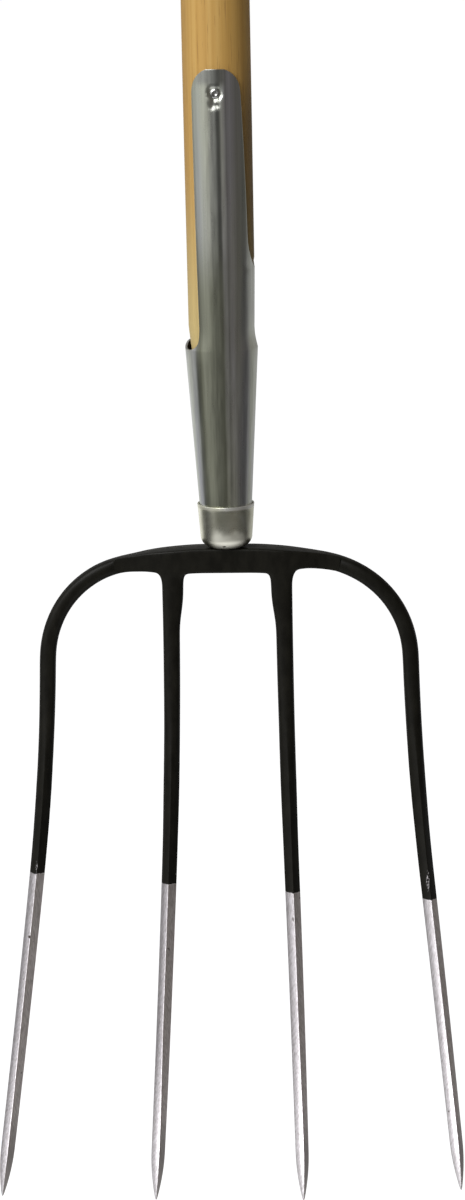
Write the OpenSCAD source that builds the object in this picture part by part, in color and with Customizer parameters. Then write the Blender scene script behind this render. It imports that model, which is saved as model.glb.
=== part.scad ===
// Four-tine manure fork: a forged head on a tang, a strap socket and an ash handle.
// Millimetres. +Z runs up the handle and the hollow side of the tines faces -Y.
// The origin is on the handle's axis, on top of the head where the end ferrule seats.

/* [Handle] */
// Diameter of the handle above the straps
handle_d = 36; // [32:0.5:40]
// Height of the handle's top end above the head
handle_top = 1350; // [900:10:1500]
// Radius of the rounded edge at the handle's top end
handle_round = 12; // [4:1:14]
// Depth of wood shaved off all round at the socket's mouth
shave_depth = 2.3; // [1.5:0.1:3]

/* [Strap socket] */
// Thickness of the socket's sheet
sheet = 1.2; // [0.8:0.1:1.6]
// Height of the straps' tips above the head
strap_top = 257; // [235:1:300]
// Width of each strap, seen from the front
strap_w = 25.2; // [22:0.2:28]
// Height of the socket's mouth above the head
mouth_z = 108; // [90:1:125]
// Gap between the wood and the ear at the mouth
mouth_gap = 1.9; // [1:0.1:2.5]
// Height over which the ear draws in to the wood above the mouth
flare_h = 10; // [6:1:16]
// Corner radius at the foot of the open notch between the straps
notch_round = 5.5; // [3:0.5:9]
// Height where the two straps meet over the seam
seam_top = 140; // [132:1:155]
// Height where the edges over the seam run straight
sweep_top = 222; // [200:1:228]
// Width of the butt seam
seam_w = 0.6; // [0.4:0.1:1]

/* [End ferrule] */
// Height of the end ferrule
ferrule_h = 24; // [18:1:34]
// Outer diameter of its rim
ferrule_rim_d = 30.5; // [29:0.5:33]
// Outer diameter where its rounded foot begins
ferrule_foot_d = 27.8; // [25:0.2:28.6]
// Radius of its rounded foot
ferrule_round = 6; // [4:0.5:7]
// Wall of the ferrule
ferrule_wall = 0.9; // [0.7:0.1:1.2]

/* [Rivet] */
// Diameter of the rivet's shank
rivet_d = 5; // [4:0.5:6]
// Diameter of each rivet head
rivet_head_d = 7.6; // [7:0.2:8.4]
// Height of each rivet head
rivet_head_h = 1.5; // [1:0.1:2]
// Depth of the dimple round each head
dimple_depth = 1.6; // [1:0.1:2]
// Diameter of the dimple at the strap's surface
dimple_d = 13; // [11:0.5:15]

/* [Tang] */
// Diameter of the neck where the tang is welded on
neck_d = 10; // [8:0.5:11]
// Width of the square spike at its foot
tang_w = 9; // [7:0.5:10]
// Width of the spike at its point
tang_tip_w = 4; // [3:0.5:6]
// Height of the spike's point above the head
tang_top = 120; // [90:1:150]

/* [Head] */
// Distance between the outer tines at the shoulders, on their centre lines
bow_span = 195.2; // [170:0.2:220]
// Radius of the arch's crown, on its centre line
crown_r = 306; // [250:1:400]
// Radius of each shoulder, on its centre line
shoulder_r = 52.4; // [42:0.2:60]
// Height of the outer bow's bar, seen from the front
bar_h = 8.8; // [7:0.1:10]
// Depth of the outer bow's bar, front to back
bar_depth = 9; // [7:0.1:10]
// Length of the lap between the two bows
lap_l = 122; // [100:1:130]
// Depth of each bar in the lap, front to back
lap_depth = 7.5; // [6.5:0.1:8.5]
// Height of the inner bow's crossbar at its middle
crossbar_h = 13.6; // [11:0.1:16]
// Height of the crossbar at its ends
crossbar_end_h = 9.6; // [9:0.1:11]
// Distance between the inner tines at their roots, on their centre lines
inner_span = 60.8; // [50:0.2:66]
// Radius of the fillets at the roots of the inner tines
fillet_r = 4; // [2:0.5:6]
// Extra width on the middle side of each inner tine's root
root_extra = 2.5; // [1:0.1:4]
// Length over which that extra width runs out
root_run = 28; // [15:1:40]

/* [Tines] */
// Drop of the tines' points below the top of the head
tine_drop = 336.5; // [280:0.5:380]
// Reach of the points in front of the head
tine_reach = 90; // [50:1:120]
// How far each outer point stands outside its shoulder
outer_spread = 25.6; // [10:0.2:40]
// How far each inner point stands outside its root
inner_spread = 9; // [4:0.1:16]
// Width of a tine at its shoulder or root
tine_root_w = 8.8; // [7:0.1:10]
// Width of a tine above its point
tine_w = 7.5; // [5.5:0.1:8.5]
// Depth of a tine above its point
tine_depth = 7.6; // [6:0.1:9]
// Length of the pencil point
point_l = 21; // [12:1:30]
// Turn of each tine's ridge about its own line, in degrees
ridge_turn = 11; // [0:1:20]

/* [Hidden] */
$fn = 96;

// Clearance between pieces that are pressed together
fit = 0.05;
// Clearance round the tang and the rivet in their holes
hole_fit = 0.1;
// Clearance of the ferrule slipped over the sheet's end
slip_fit = 0.3;
// Overrun of every cut
over = 4;

handle_r = handle_d / 2;
shave_power = 1.6;
shave_steps = 9;
round_steps = 8;

// Ferrule, inside and out
rim_r = ferrule_rim_d / 2;
foot_r = ferrule_foot_d / 2;
foot_z = ferrule_round;
function ferrule_in(z) = foot_r - ferrule_wall + (rim_r - foot_r) * (z - foot_z) / (ferrule_h - foot_z);

// Wood: full size above the straps, shaved to the mouth, then tapering into the ferrule
rim_in_r = ferrule_in(ferrule_h) - slip_fit - sheet;
function shaved_r(z) = handle_r - shave_depth * pow(max(0, strap_top - z) / (strap_top - mouth_z), shave_power);

// Sheet: it hugs the wood at the front and back, and stands off at the sides as two ears round the mouth
flare_power = 1.5;
flare_steps = 5;
sheet_sides = 60;
round_power = 2;
flare_top = mouth_z + flare_h;
function cone_in(z, mouth_r) = z < ferrule_h
    ? ferrule_in(z) - slip_fit - sheet
    : rim_in_r + (mouth_r - rim_in_r) * (z - ferrule_h) / (mouth_z - ferrule_h);
function face_in(z) = z < mouth_z ? cone_in(z, shaved_r(mouth_z) + fit) : shaved_r(z) + fit;
function ear_in(z) = z < mouth_z
    ? cone_in(z, shaved_r(mouth_z) + mouth_gap)
    : face_in(z) + (mouth_gap - fit) * pow(max(0, flare_top - z) / flare_h, flare_power);
sheet_rows = concat([ferrule_h], [for (i = [0 : flare_steps]) mouth_z + flare_h * i / flare_steps],
    [for (i = [1 : shave_steps - 1]) flare_top + (strap_top - flare_top) * i / shave_steps]);

// Strap edges: the notch's half width follows from the strap's width on the round sheet
strap_out_r = handle_r + fit + sheet;
notch_r = sqrt(pow(strap_out_r, 2) - pow(strap_w / 2, 2));
notch_low_r = notch_r * (face_in(mouth_z) + sheet) / strap_out_r;
sweep_power = 2.8;
sweep_steps = 14;

// Rivet and dimples
rivet_z = strap_top - strap_w / 2;
rivet_out_r = shaved_r(rivet_z) + fit + sheet;
floor_h = rivet_out_r - dimple_depth;
floor_gap = 0.5;
floor_r = rivet_head_d / 2 + floor_gap;
dimple_slope = (dimple_d / 2 - floor_r) / dimple_depth;

// Bow: a crown arc and two shoulder arcs on one tangent line, with a flat seat ground on the crown
seat_cut = 0.4;
bow_half = bow_span / 2;
crown_z = seat_cut - bar_h / 2;
shoulder_x = bow_half - shoulder_r;
crown_turn = asin(shoulder_x / (crown_r - shoulder_r));
shoulder_z = crown_z - crown_r + (crown_r - shoulder_r) * cos(crown_turn);
lap_half = lap_l / 2;
joggle = lap_depth - bar_depth / 2;
joggle_run = 15;
scarf_l = 18;
lip = 0.9;
slim_from_share = 0.33;
slim_to_share = 0.85;

// Tines: spread and forward curve, as functions of the drop below the head's top
spread_start_share = 0.09;
spread_end_share = 0.53;
spread_from = tine_drop * spread_start_share;
spread_to = tine_drop * spread_end_share;
curve_from = 10;
point_from = tine_drop - point_l;
tip_share = 0.1;
point_power = 1.4;
bar_sides = 16;
crown_steps = 8;
shoulder_steps = 10;
tine_steps = 15;
point_steps = 5;
bar_power = 2.7;
ridge_power = 1.18;
lap_power = 3.4;
ridge_from_share = 0.2;
ridge_to_share = 0.48;

function clamp01(t) = min(1, max(0, t));
function ease(t) = let (s = clamp01(t)) s * s * (3 - 2 * s);
function mix(a, b, t) = a + (b - a) * t;
function unit(v) = v / norm(v);
function spread_run(d) = let (l = spread_to - spread_from, u = min(l, max(0, d - spread_from)))
    u * u / (2 * l) + max(0, d - spread_to);
function spread_share(d) = spread_run(d) / spread_run(tine_drop);
function reach(d) = tine_reach * pow(max(0, d - curve_from) / (tine_drop - curve_from), 2);
function ridge(d) = ease((d / tine_drop - ridge_from_share) / (ridge_to_share - ridge_from_share));
function point(d) = 1 - (1 - tip_share) * pow(max(0, d - point_from) / point_l, point_power);

// A station is [centre, half width, half depth, power of the section, turn of the section]
function tine_station(x, y, d, from_d, root_depth, root_power) =
    let (t = clamp01((d - from_d) / (point_from - from_d)))
    [[x, y - reach(d), -d], mix(tine_root_w, tine_w, t) / 2 * point(d), mix(root_depth, tine_depth, t) / 2 * point(d),
        mix(root_power, ridge_power, ridge(d)), -ridge_turn * ridge(d)];
// Drops of the stations down a tine, closer together along its point
function drops(from_d) = concat(
    [for (i = [0 : tine_steps - 1]) mix(from_d, point_from, i / tine_steps)],
    [for (i = [0 : point_steps]) mix(point_from, tine_drop, i / point_steps)]);

// Bars are lofted through rings of superellipse points, square to the line of stations
function ring(s, along, sides) =
    let (across = unit(cross([0, 1, 0], along)), back = cross(along, across), e = 2 / s[3])
    [for (k = [0 : sides - 1])
        let (a = 360 * k / sides,
            u = s[1] * sign(cos(a)) * pow(abs(cos(a)), e),
            v = s[2] * sign(sin(a)) * pow(abs(sin(a)), e))
        s[0] + across * (u * cos(s[4]) - v * sin(s[4])) + back * (u * sin(s[4]) + v * cos(s[4]))];
function rings(line, sides) = [for (i = [0 : len(line) - 1])
    ring(line[i], unit(line[min(i + 1, len(line) - 1)][0] - line[max(i - 1, 0)][0]), sides)];

module loft(line, sides = bar_sides) {
    hoops = rings(line, sides);
    last = (len(hoops) - 1) * sides;
    polyhedron(
        points = [for (hoop = hoops) each hoop],
        faces = concat(
            [[for (k = [0 : sides - 1]) k]],
            [for (i = [0 : len(hoops) - 2], k = [0 : sides - 1])
                let (a = i * sides + k, b = i * sides + (k + 1) % sides)
                each [[a, a + sides, b], [b, a + sides, b + sides]]],
            [[for (k = [sides - 1 : -1 : 0]) last + k]]));
}

// Outer bow, from the middle of the crown to the right point, then both halves as one line
function joggled(x) = joggle * ease((lap_half + joggle_run - abs(x)) / (2 * joggle_run));
function bow_station(x, z, w) = [[x + outer_spread * spread_share(-z), joggled(x) - reach(-z), z],
    w / 2, bar_depth / 2, bar_power, 0];
bow_right = concat(
    [for (i = [0 : crown_steps - 1]) let (a = crown_turn * i / crown_steps)
        bow_station(crown_r * sin(a), crown_z - crown_r + crown_r * cos(a), bar_h)],
    [for (i = [0 : shoulder_steps - 1]) let (t = i / shoulder_steps, a = mix(crown_turn, 90, t))
        bow_station(shoulder_x + shoulder_r * sin(a), shoulder_z + shoulder_r * cos(a), mix(bar_h, tine_root_w, t))],
    [for (d = drops(-shoulder_z))
        tine_station(bow_half + outer_spread * spread_share(d), 0, d, -shoulder_z, bar_depth, bar_power)]);
function mirrored(s) = [[-s[0][0], s[0][1], s[0][2]], s[1], s[2], s[3], -s[4]];
bow_line = concat([for (i = [len(bow_right) - 1 : -1 : 1]) mirrored(bow_right[i])], bow_right);

// Inner bow: crossbar along the crown, tines hung from it
cross_steps = 10;
cross_back = 2.5;
cross_end_depth = bar_depth / 2 - joggle / 2 + lip;
function crown_top(x) = crown_z + bar_h / 2 - crown_r + sqrt(crown_r * crown_r - x * x);
function cross_front(x) = mix(lap_depth, cross_end_depth, clamp01((abs(x) - lap_half + scarf_l) / scarf_l));
function cross_h(x) = mix(crossbar_h, crossbar_end_h,
    ease((abs(x) / lap_half - slim_from_share) / (slim_to_share - slim_from_share)));
function cross_station(x) = let (h = cross_h(x), depth = cross_front(x) + cross_back)
    [[x, cross_back - depth / 2, crown_top(x) - h / 2], h / 2, depth / 2, lap_power, 0];
cross_line = [for (i = [-cross_steps : cross_steps]) cross_station(lap_half * i / cross_steps)];
root_d = crossbar_h - seat_cut;
root_power = 3;
fillet_steps = 6;
function fillet(d) = let (t = clamp01((d - root_d) / fillet_r)) fillet_r * (1 - sqrt(1 - pow(1 - t, 2)));
function root_widening(d) = root_extra * clamp01(1 - (d - root_d) / root_run);
function inner_depth(d) = mix(lap_depth, bar_depth, ease((d - root_d - root_run) / root_run));
function inner_station(side, d) =
    let (extra = root_widening(d), x = inner_span / 2 + inner_spread * spread_share(d) - extra / 2,
        s = tine_station(side * x, -lap_depth / 2, d, root_d, inner_depth(d), root_power))
    [s[0], s[1] + extra / 2 + fillet(d), s[2], s[3], s[4]];
function inner_line(side) = concat(
    [inner_station(side, root_d - fillet_r)],
    [for (i = [0 : fillet_steps - 1]) inner_station(side, root_d + fillet_r * pow(i / fillet_steps, 2))],
    [for (d = drops(root_d + fillet_r)) inner_station(side, d)]);

// Plan of the lap's parting face: flat behind the crossbar, sloping out to the front at each scarf
part_end = cross_end_depth - lip;
part_line = [[-lap_half, -part_end], [scarf_l - lap_half, 0], [lap_half - scarf_l, 0], [lap_half, -part_end]];
lap_low = crossbar_h + fillet_r + over;
module lap_front() {
    translate([0, 0, -lap_low]) linear_extrude(lap_low + over)
        polygon(concat(part_line, [[lap_half, -lap_depth - over], [-lap_half, -lap_depth - over]]));
}
module lap_back() {
    translate([0, 0, -lap_low]) linear_extrude(lap_low + over)
        polygon(concat(part_line, [[lap_half + over, -part_end], [lap_half + over, bar_depth + over],
            [-lap_half - over, bar_depth + over], [-lap_half - over, -part_end]]));
}
// Everything above the flat seat
module above_seat() {
    translate([-bow_half, -bar_depth - over, 0]) cube([bow_span, 2 * (bar_depth + over), bar_h]);
}

module dish(sink) {
    deep = floor_h - sink;
    high = rivet_out_r + over - sink;
    for (turn = [0, 180]) rotate([90, 0, turn]) rotate_extrude()
        polygon([[0, deep], [floor_r, deep], [floor_r + dimple_slope * (high - deep), high], [0, high]]);
}
module rivet_hole(gap) {
    rotate([90, 0, 0]) cylinder(r = rivet_d / 2 + gap, h = 2 * strap_out_r + over, center = true);
}
module at_rivet() {
    translate([0, 0, rivet_z]) children();
}
module spike(gap) {
    translate([0, 0, foot_z]) linear_extrude(tang_top - foot_z, scale = (tang_tip_w + gap) / (tang_w + gap))
        square(tang_w + gap, center = true);
}

module handle() {
    color("burlywood") difference() {
        rotate_extrude() polygon(concat(
            [[0, foot_z], [face_in(foot_z) - fit, foot_z], [face_in(ferrule_h) - fit, ferrule_h]],
            [for (i = [0 : shave_steps]) let (z = mix(mouth_z, strap_top, i / shave_steps)) [shaved_r(z), z]],
            [for (i = [0 : round_steps]) let (a = 90 * i / round_steps)
                [handle_r - handle_round * (1 - cos(a)), handle_top - handle_round * (1 - sin(a))]],
            [[0, handle_top]]));
        spike(2 * hole_fit);
        at_rivet() dish(sheet + fit);
        at_rivet() rivet_hole(hole_fit);
    }
}

// What the sheet encloses, oval round the mouth; a cut runs past both ends
module sheet_solid(grow, past) {
    loft([for (z = concat([foot_z - past], sheet_rows, [strap_top + past]))
        [[0, 0, z], ear_in(z) + grow, face_in(z) + grow, round_power, 0]], sheet_sides);
}
module sheet_shell() {
    difference() {
        sheet_solid(sheet, 0);
        sheet_solid(0, over);
    }
}
// Outlines seen from the side, cut through one half of the sheet
module from_side(right) {
    rotate([90, 0, 90]) translate([0, 0, right ? 0 : -strap_out_r - over]) linear_extrude(strap_out_r + over)
        children();
}
module notch_outline() {
    hull() {
        for (side = [-1, 1]) translate([side * (notch_low_r - notch_round), mouth_z + notch_round])
            circle(notch_round);
        translate([-notch_r, strap_top]) square([2 * notch_r, over]);
    }
}
function sweep_y(t) = notch_r * (1 - pow(1 - t, sweep_power));
module sweep_outline() {
    polygon(concat(
        [for (i = [0 : sweep_steps]) let (t = i / sweep_steps) [sweep_y(t), mix(seam_top, sweep_top, t)]],
        [[notch_r, strap_top + over], [-notch_r, strap_top + over]],
        [for (i = [sweep_steps : -1 : 1]) let (t = i / sweep_steps) [-sweep_y(t), mix(seam_top, sweep_top, t)]]));
}
module tip_outline() {
    translate([0, rivet_z]) circle(strap_w / 2);
    translate([-strap_out_r, 0]) square([2 * strap_out_r, rivet_z]);
}
module strap_socket() {
    color("silver") difference() {
        union() {
            intersection() {
                sheet_shell();
                rotate([90, 0, 0]) linear_extrude(2 * strap_out_r + over, center = true) tip_outline();
            }
            intersection() {
                sheet_solid(sheet, 0);
                at_rivet() dish(sheet);
            }
        }
        from_side(false) notch_outline();
        from_side(true) sweep_outline();
        from_side(true) translate([-seam_w / 2, 0]) square([seam_w, seam_top + over]);
        at_rivet() dish(0);
        at_rivet() rivet_hole(hole_fit);
    }
}

module cup(r_foot, r_rim, low, round_r) {
    rotate_extrude() polygon(concat(
        [[0, low]],
        [for (i = [0 : round_steps]) let (a = 90 * i / round_steps)
            [r_foot - round_r * (1 - sin(a)), foot_z - round_r * cos(a)]],
        [[r_rim, ferrule_h], [0, ferrule_h]]));
}
module end_ferrule() {
    color("lightgray") difference() {
        cup(foot_r, rim_r, 0, ferrule_round);
        cup(foot_r - ferrule_wall, rim_r - ferrule_wall, ferrule_wall, ferrule_round - ferrule_wall);
        translate([0, 0, ferrule_h]) cylinder(r = rim_r + over, h = over);
        cylinder(r = neck_d / 2 + hole_fit, h = ferrule_h, center = true);
    }
}

head_ball_r = (pow(rivet_head_d / 2, 2) + pow(rivet_head_h, 2)) / (2 * rivet_head_h);
module strap_rivet() {
    color("gainsboro") at_rivet() {
        rotate([90, 0, 0]) cylinder(r = rivet_d / 2, h = 2 * floor_h, center = true);
        for (turn = [0, 180]) rotate([90, 0, turn]) intersection() {
            translate([0, 0, floor_h + rivet_head_h - head_ball_r]) sphere(head_ball_r);
            translate([0, 0, floor_h]) cylinder(r = rivet_head_d, h = rivet_head_h + over);
        }
    }
}

module tang() {
    color("dimgray") {
        cylinder(r = neck_d / 2, h = foot_z);
        spike(0);
    }
}

module outer_tines() {
    color("#1c1b1a") difference() {
        loft(bow_line);
        lap_front();
        above_seat();
    }
}

module inner_tines() {
    color("#232120") difference() {
        union() {
            loft(cross_line);
            for (side = [-1, 1]) loft(inner_line(side));
        }
        lap_back();
        above_seat();
    }
}

handle();
strap_socket();
end_ferrule();
strap_rivet();
tang();
outer_tines();
inner_tines();
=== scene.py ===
from math import acos, asin, atan2, cos, pi, radians, sin, sqrt

import bmesh
import bpy
from mathutils import Matrix, Vector


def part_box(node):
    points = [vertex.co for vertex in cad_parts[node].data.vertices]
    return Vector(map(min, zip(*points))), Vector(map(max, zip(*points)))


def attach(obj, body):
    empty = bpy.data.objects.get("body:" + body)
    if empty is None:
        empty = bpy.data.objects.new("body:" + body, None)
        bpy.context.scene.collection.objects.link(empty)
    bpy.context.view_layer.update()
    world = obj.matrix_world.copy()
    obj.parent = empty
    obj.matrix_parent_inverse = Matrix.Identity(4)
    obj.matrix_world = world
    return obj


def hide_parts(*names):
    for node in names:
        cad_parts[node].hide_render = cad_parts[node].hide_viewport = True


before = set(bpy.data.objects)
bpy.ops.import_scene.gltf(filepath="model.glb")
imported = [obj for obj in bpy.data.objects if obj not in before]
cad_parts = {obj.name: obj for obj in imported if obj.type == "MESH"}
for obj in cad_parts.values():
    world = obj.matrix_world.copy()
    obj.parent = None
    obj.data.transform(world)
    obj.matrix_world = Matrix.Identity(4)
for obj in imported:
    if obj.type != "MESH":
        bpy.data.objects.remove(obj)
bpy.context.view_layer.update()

print("frame loaded:", ", ".join(sorted(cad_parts)))

# sizes that the frame gives
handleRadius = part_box("handle")[1].x
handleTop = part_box("handle")[1].z
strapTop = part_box("strap_socket")[1].z
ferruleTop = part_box("end_ferrule")[1].z
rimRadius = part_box("end_ferrule")[1].x
tineDrop = -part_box("outer_tines")[0].z

# sizes that several pieces share
mouthHeight = 0.108  # of the socket's mouth
socketFoot = 0.006  # of the sheet and the wood inside the ferrule
rivetHeight = strapTop - 0.0126
dropPlace = (-0.0004, strapTop - 0.0182)  # across and up: a second, smaller dent below the rivet
crownRadius = 0.306  # of the arch's middle line, and of its shoulders
shoulderRadius = 0.0524
near = 1e-5  # points closer than this stand at one height
tiny = 1e-6  # and for finer tests


def mix(a, b, t):
    return a + (b - a) * t


def clamp(t):
    return min(1, max(0, t))


def ease(t):
    t = clamp(t)
    return t * t * (3 - 2 * t)


def steps(start, end, count):
    return [mix(start, end, i / count) for i in range(count + 1)]


def grey(value):
    return (value,) * 3


# selects the points of the mesh being edited that wanted(point) says yes to
def pick(piece, wanted):
    bpy.ops.mesh.select_all(action="DESELECT")
    mesh = bmesh.from_edit_mesh(piece.data)
    mesh.verts.index_update()
    for point in mesh.verts:
        point.select = bool(wanted(point))
    mesh.select_flush(True)
    bmesh.update_edit_mesh(piece.data)


def editMode():
    bpy.ops.object.mode_set(mode="EDIT")


def objectMode():
    bpy.ops.object.mode_set(mode="OBJECT")


def applyModifier(piece, kind, **settings):
    modifier = piece.modifiers.new(kind.title(), kind)
    for name, value in settings.items():
        setattr(modifier, name, value)
    bpy.ops.object.modifier_apply(modifier=modifier.name)


# resizes what is selected about a place
def resize(scale, center):
    bpy.ops.transform.resize(value=scale, center_override=center)


# turns all faces of the mesh being edited outwards
def faceOutward():
    bpy.ops.mesh.select_all(action="SELECT")
    bpy.ops.mesh.normals_make_consistent(inside=False)


# a new piece from a basic mesh, with its place moved into its mesh, open for editing with all selected
def startPiece(name, addMesh, **settings):
    bpy.ops.object.select_all(action="DESELECT")
    addMesh(**settings)
    piece = bpy.context.object
    piece.name = name
    bpy.ops.object.transform_apply(location=True, rotation=True, scale=True)
    editMode()
    bpy.ops.mesh.select_all(action="SELECT")
    return piece


# a ring extruded through a line of (radius, height) points, as on a lathe
def turnPiece(name, line, sides):
    radius, height = line[0]
    piece = startPiece(name, bpy.ops.mesh.primitive_circle_add, vertices=sides, radius=radius,
                       location=(0, 0, height))
    for nextRadius, nextHeight in line[1:]:
        bpy.ops.mesh.extrude_region_move(TRANSFORM_OT_translate={"value": (0, 0, nextHeight - height)})
        grow = nextRadius / radius
        resize((grow, grow, 1), (0, 0, nextHeight))
        radius, height = nextRadius, nextHeight
    return piece


# closes the loop drawn last and the one at the lower end
def closeEnds(piece, bottom):
    bpy.ops.mesh.edge_face_add()
    pick(piece, lambda point: point.co.z < bottom + tiny)
    bpy.ops.mesh.edge_face_add()
    faceOutward()


# a dent pressed into both faces of a piece round the rivet, deep in the floor and easing out to the rim
def pressDents(piece, x, z, floor, rim, depth):
    for side in (-1, 1):
        pick(piece, lambda point: point.co.y * side > 0
             and (point.co - Vector((x, point.co.y, z))).length < floor)
        bpy.ops.transform.translate(value=(0, -side * depth, 0), use_proportional_edit=True,
                                    proportional_edit_falloff="SMOOTH", proportional_size=rim - floor)


def finishPiece(piece, material, node, angle=35):
    objectMode()
    bpy.ops.object.shade_smooth_by_angle(angle=radians(angle))
    piece.data.materials.clear()
    piece.data.materials.append(material)
    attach(piece, "root")
    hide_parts(node)
    print("made", piece.name, len(piece.data.polygons), "faces")


# Materials
tree = None  # the node tree being filled


def setInputs(node, inputs):
    for name, value in inputs.items():
        if isinstance(value, bpy.types.NodeSocket):
            tree.links.new(value, node.inputs[name])
        else:
            node.inputs[name].default_value = value


def addNode(kind, inputs=None, **settings):
    node = tree.nodes.new("ShaderNode" + kind)
    for name, value in settings.items():
        setattr(node, name, value)
    setInputs(node, inputs or {})
    return node


# a new material, whose tree the nodes are then added to
def newMaterial(name):
    global tree
    material = bpy.data.materials.new(name)
    material.use_nodes = True
    tree = material.node_tree
    return material, tree.nodes["Principled BSDF"]


# short ways to the nodes that the materials share, all on Object coordinates
def objectPlace(scale, location=(0, 0, 0)):
    place = addNode("TexCoord").outputs["Object"]
    return addNode("Mapping", {"Vector": place, "Scale": scale, "Location": location}).outputs[0]


def splitPlace():
    return addNode("SeparateXYZ", {0: addNode("TexCoord").outputs["Object"]}).outputs


def noise(scale, detail, location=(0, 0, 0)):
    place = objectPlace(scale, location)
    return addNode("TexNoise", {"Vector": place, "Scale": 1, "Detail": detail}).outputs["Fac"]


def calculate(operation, first, second=0, third=0):
    return addNode("Math", {0: first, 1: second, 2: third}, operation=operation).outputs[0]


def times(first, *others):
    for other in others:
        first = calculate("MULTIPLY", first, other)
    return first


# a value times a factor, plus a base
def scaled(value, factor, base):
    return calculate("MULTIPLY_ADD", value, factor, base)


def band(value, low, high, toLow=0, toHigh=1):
    return addNode("MapRange", {"Value": value, "From Min": low, "From Max": high, "To Min": toLow,
                                "To Max": toHigh}, interpolation_type="SMOOTHSTEP").outputs[0]


# one between two soft edges and nought outside them
def between(value, low, lowFull, highFull, high):
    return times(band(value, low, lowFull), band(value, high, highFull))


def length(place):
    return addNode("VectorMath", {0: place}, operation="LENGTH").outputs["Value"]


def dotProduct(first, second):
    return addNode("VectorMath", {0: first, 1: second}, operation="DOT_PRODUCT").outputs["Value"]


def ramp(value, stops):
    node = addNode("ValToRGB", {"Fac": value})
    while len(node.color_ramp.elements) < len(stops):
        node.color_ramp.elements.new(0.5)
    for element, (position, color) in zip(node.color_ramp.elements, stops):
        element.position = position
        element.color = (*color, 1)
    return node.outputs["Color"]


def blend(factor, first, second, kind="MIX"):
    node = addNode("Mix", {0: factor}, data_type="RGBA", blend_type=kind)
    for place, color in ((6, first), (7, second)):
        if isinstance(color, bpy.types.NodeSocket):
            tree.links.new(color, node.inputs[place])
        else:
            node.inputs[place].default_value = (*color, 1)
    return node.outputs[2]


def addBump(shader, height, distance, strength):
    node = addNode("Bump", {"Height": height, "Distance": distance, "Strength": strength})
    tree.links.new(node.outputs[0], shader.inputs["Normal"])


# a soft spot of the given half sizes round a place
def softSpot(place, half):
    scale = tuple(1 / size for size in half)
    shifted = objectPlace(scale, tuple(-a * b for a, b in zip(place, scale)))
    return band(length(shifted), 1, 0.6)


# turn round the handle from the front, 0 at the left side, 0.5 at the front or back and 1 at the right
def turnShare():
    place = splitPlace()
    turn = calculate("ARCTAN2", place["X"], calculate("ABSOLUTE", place["Y"]))
    return scaled(turn, 1 / pi, 0.5)


# Ash: growth rings round a pith beside the handle, long fibres and short dark pores
ash = {
    "pith": (0.031, -0.042, 0),
    "ringStretch": 0.012,  # the rings are drawn out along the handle
    "ringNoise": 0.004,
    "ringsPerMetre": 360,
    "freshHeights": (0.22, 0.11),  # paler, yellower fresh wood beside the straps
    "rightShadeHeights": (0.27, 0.225),  # and painted shade on the right side there
    "rightShadeTurns": (0.72, 0.84),
    "leftShadeTurns": (0.36, 0.12),  # its left side is painted a little darker, as shade
    "relief": 0.00012,
}


def ashMaterial():
    material, shader = newMaterial("ashWood")
    turn = turnShare()
    height = splitPlace()["Z"]
    distance = length(objectPlace((1, 1, ash["ringStretch"]), ash["pith"]))
    distance = scaled(noise((60, 60, 2.2), 3), ash["ringNoise"], distance)
    rings = calculate("FRACT", times(distance, ash["ringsPerMetre"]))
    late = ramp(rings, [(0, grey(0.45)), (0.25, grey(0.8)), (0.7, grey(1)), (1, grey(0.45))])
    fibres = noise((1100, 1100, 9), 5)
    broad = noise((150, 150, 2.5), 3, (3, 1, 0))
    tone = scaled(late, 0.42, -0.12)
    tone = scaled(fibres, 0.42, tone)
    tone = scaled(broad, 0.6, tone)
    color = ramp(tone, [(0.15, (0.33, 0.155, 0.032)), (0.45, (0.46, 0.255, 0.06)),
                        (0.75, (0.55, 0.325, 0.09)), (1, (0.61, 0.39, 0.125))])
    pores = band(noise((1500, 1500, 55), 2), 0.62, 0.7)
    color = blend(times(pores, 0.45), color, (0.24, 0.12, 0.04))
    # painted shade on the handle's left side
    color = blend(band(turn, *ash["leftShadeTurns"], 0, 0.7), color, (0.4, 0.235, 0.07))
    color = blend(band(height, *ash["freshHeights"], 0, 0.75), color, (0.6, 0.49, 0.22))
    # painted shade on the wood's right side beside the straps
    rightShade = times(band(turn, *ash["rightShadeTurns"]), band(height, *ash["rightShadeHeights"]), 0.65)
    color = blend(rightShade, color, (0.1, 0.068, 0.03))
    setInputs(shader, {"Base Color": color, "Specular IOR Level": 0.3,
                       "Roughness": band(fibres, 0.3, 0.7, 0.5, 0.66)})
    addBump(shader, calculate("SUBTRACT", fibres, times(pores, 0.8)), ash["relief"], 0.6)
    return material


# Zinc plated sheet: fine drawing lines along it, wide bands of painted reflection and shade round it, and a
# faint play of colour
zinc = {
    "coneTurns": (0.22, 0.3, 0.5, 0.63),  # the cone's front is duller than the straps
    "coneHeights": (0.178, 0.135),
    "leftTurns": (0.256, 0.222),  # the cone's flanks are painted brighter, as highlights
    "leftHeights": (0.112, 0.098),
    "rightTurns": (0.765, 0.815),
    "rightHeights": (0.13, 0.112),
    "shadeStripTurns": (0.222, 0.25, 0.275, 0.33),  # a strip of painted shade beside the left flank
    "shadeStripHeights": (0.03, 0.095, 0.106, 0.126),
    "tipTurns": (0.28, 0.38, 0.56, 0.61),  # the straps' tips are pressed dull
    "tipHeights": (strapTop - 0.0098, strapTop - 0.0055),
    "earTurns": (0.24, 0.31),  # either way from the front: the ears are rougher
    "earHeights": (0.13, 0.112),
    "inside": (-0.002, -0.008),  # the inside lies in shade and is painted nearly black
    "relief": 0.00002,
}


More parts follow.
